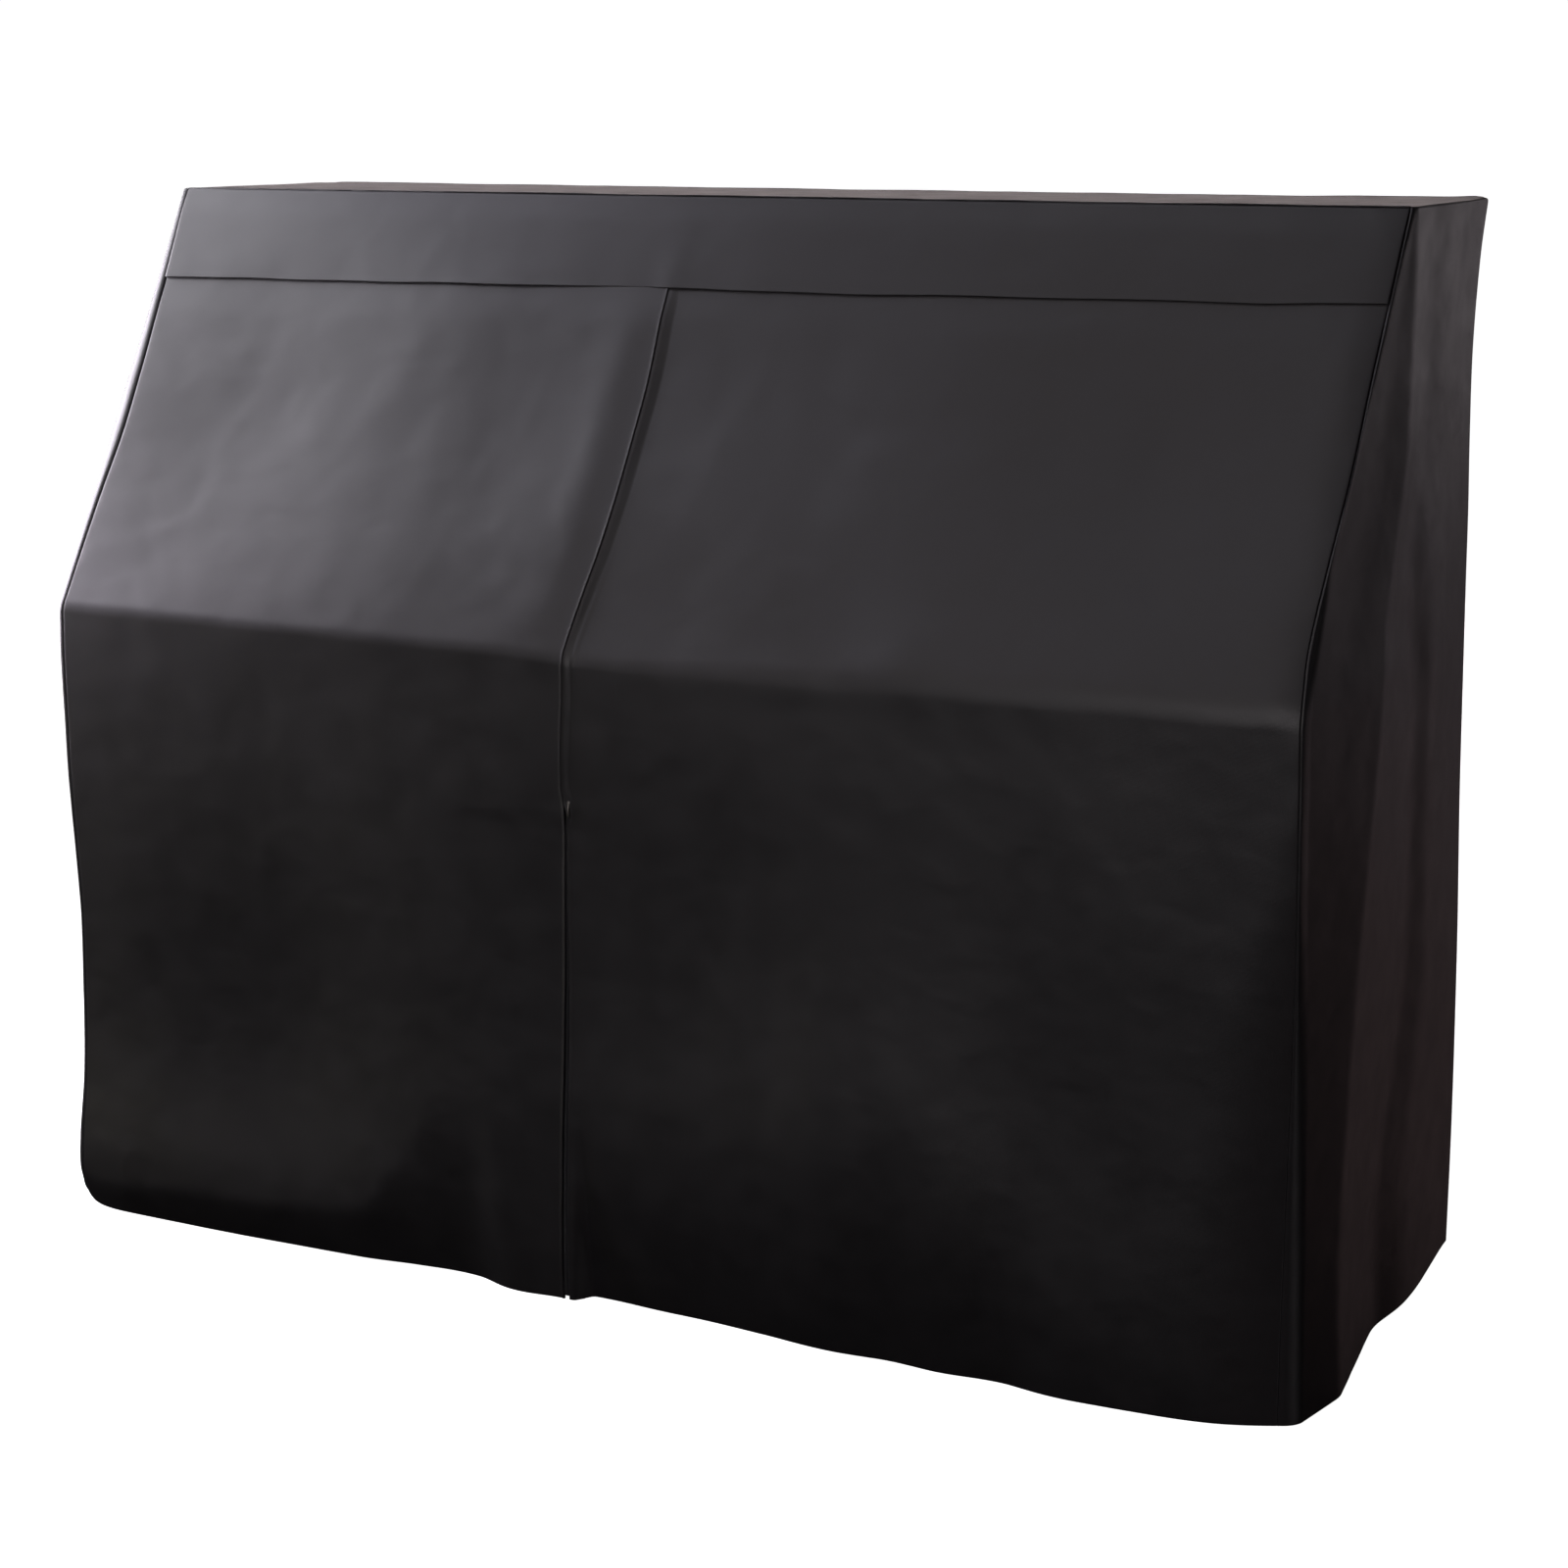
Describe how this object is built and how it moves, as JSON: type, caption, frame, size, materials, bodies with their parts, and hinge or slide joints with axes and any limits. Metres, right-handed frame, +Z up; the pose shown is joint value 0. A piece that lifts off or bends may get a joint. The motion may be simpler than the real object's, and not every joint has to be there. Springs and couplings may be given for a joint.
{
  "type": "piano cover",
  "caption": "Fitted full-length cloth cover for an upright piano: flat lid, sloping front with a band, straight drop from the key edge to the floor, open bottom.",
  "frame": {"origin": "on the floor, under the middle of the cover's outline", "axes": "+X along the keyboard to the right of someone facing the front, +Y from the front to the back, +Z up"},
  "size_m": [1.5804, 0.6092, 1.222],
  "materials": {
    "coated_cloth": "near-black coated cloth, soft satin sheen, very fine grain",
    "zip_tape": "black woven tape, matt",
    "zip_metal": "dulled metal"
  },
  "bodies": {
    "root": {"top_panel": "coated_cloth", "front_band": "coated_cloth", "front_left_panel": "coated_cloth", "front_right_panel": "coated_cloth", "side_panel_right": "coated_cloth", "side_panel_left": "coated_cloth", "back_panel": "coated_cloth", "zip_tape": "zip_tape", "zip_slider": "zip_metal"}
  },
  "joints": []
}
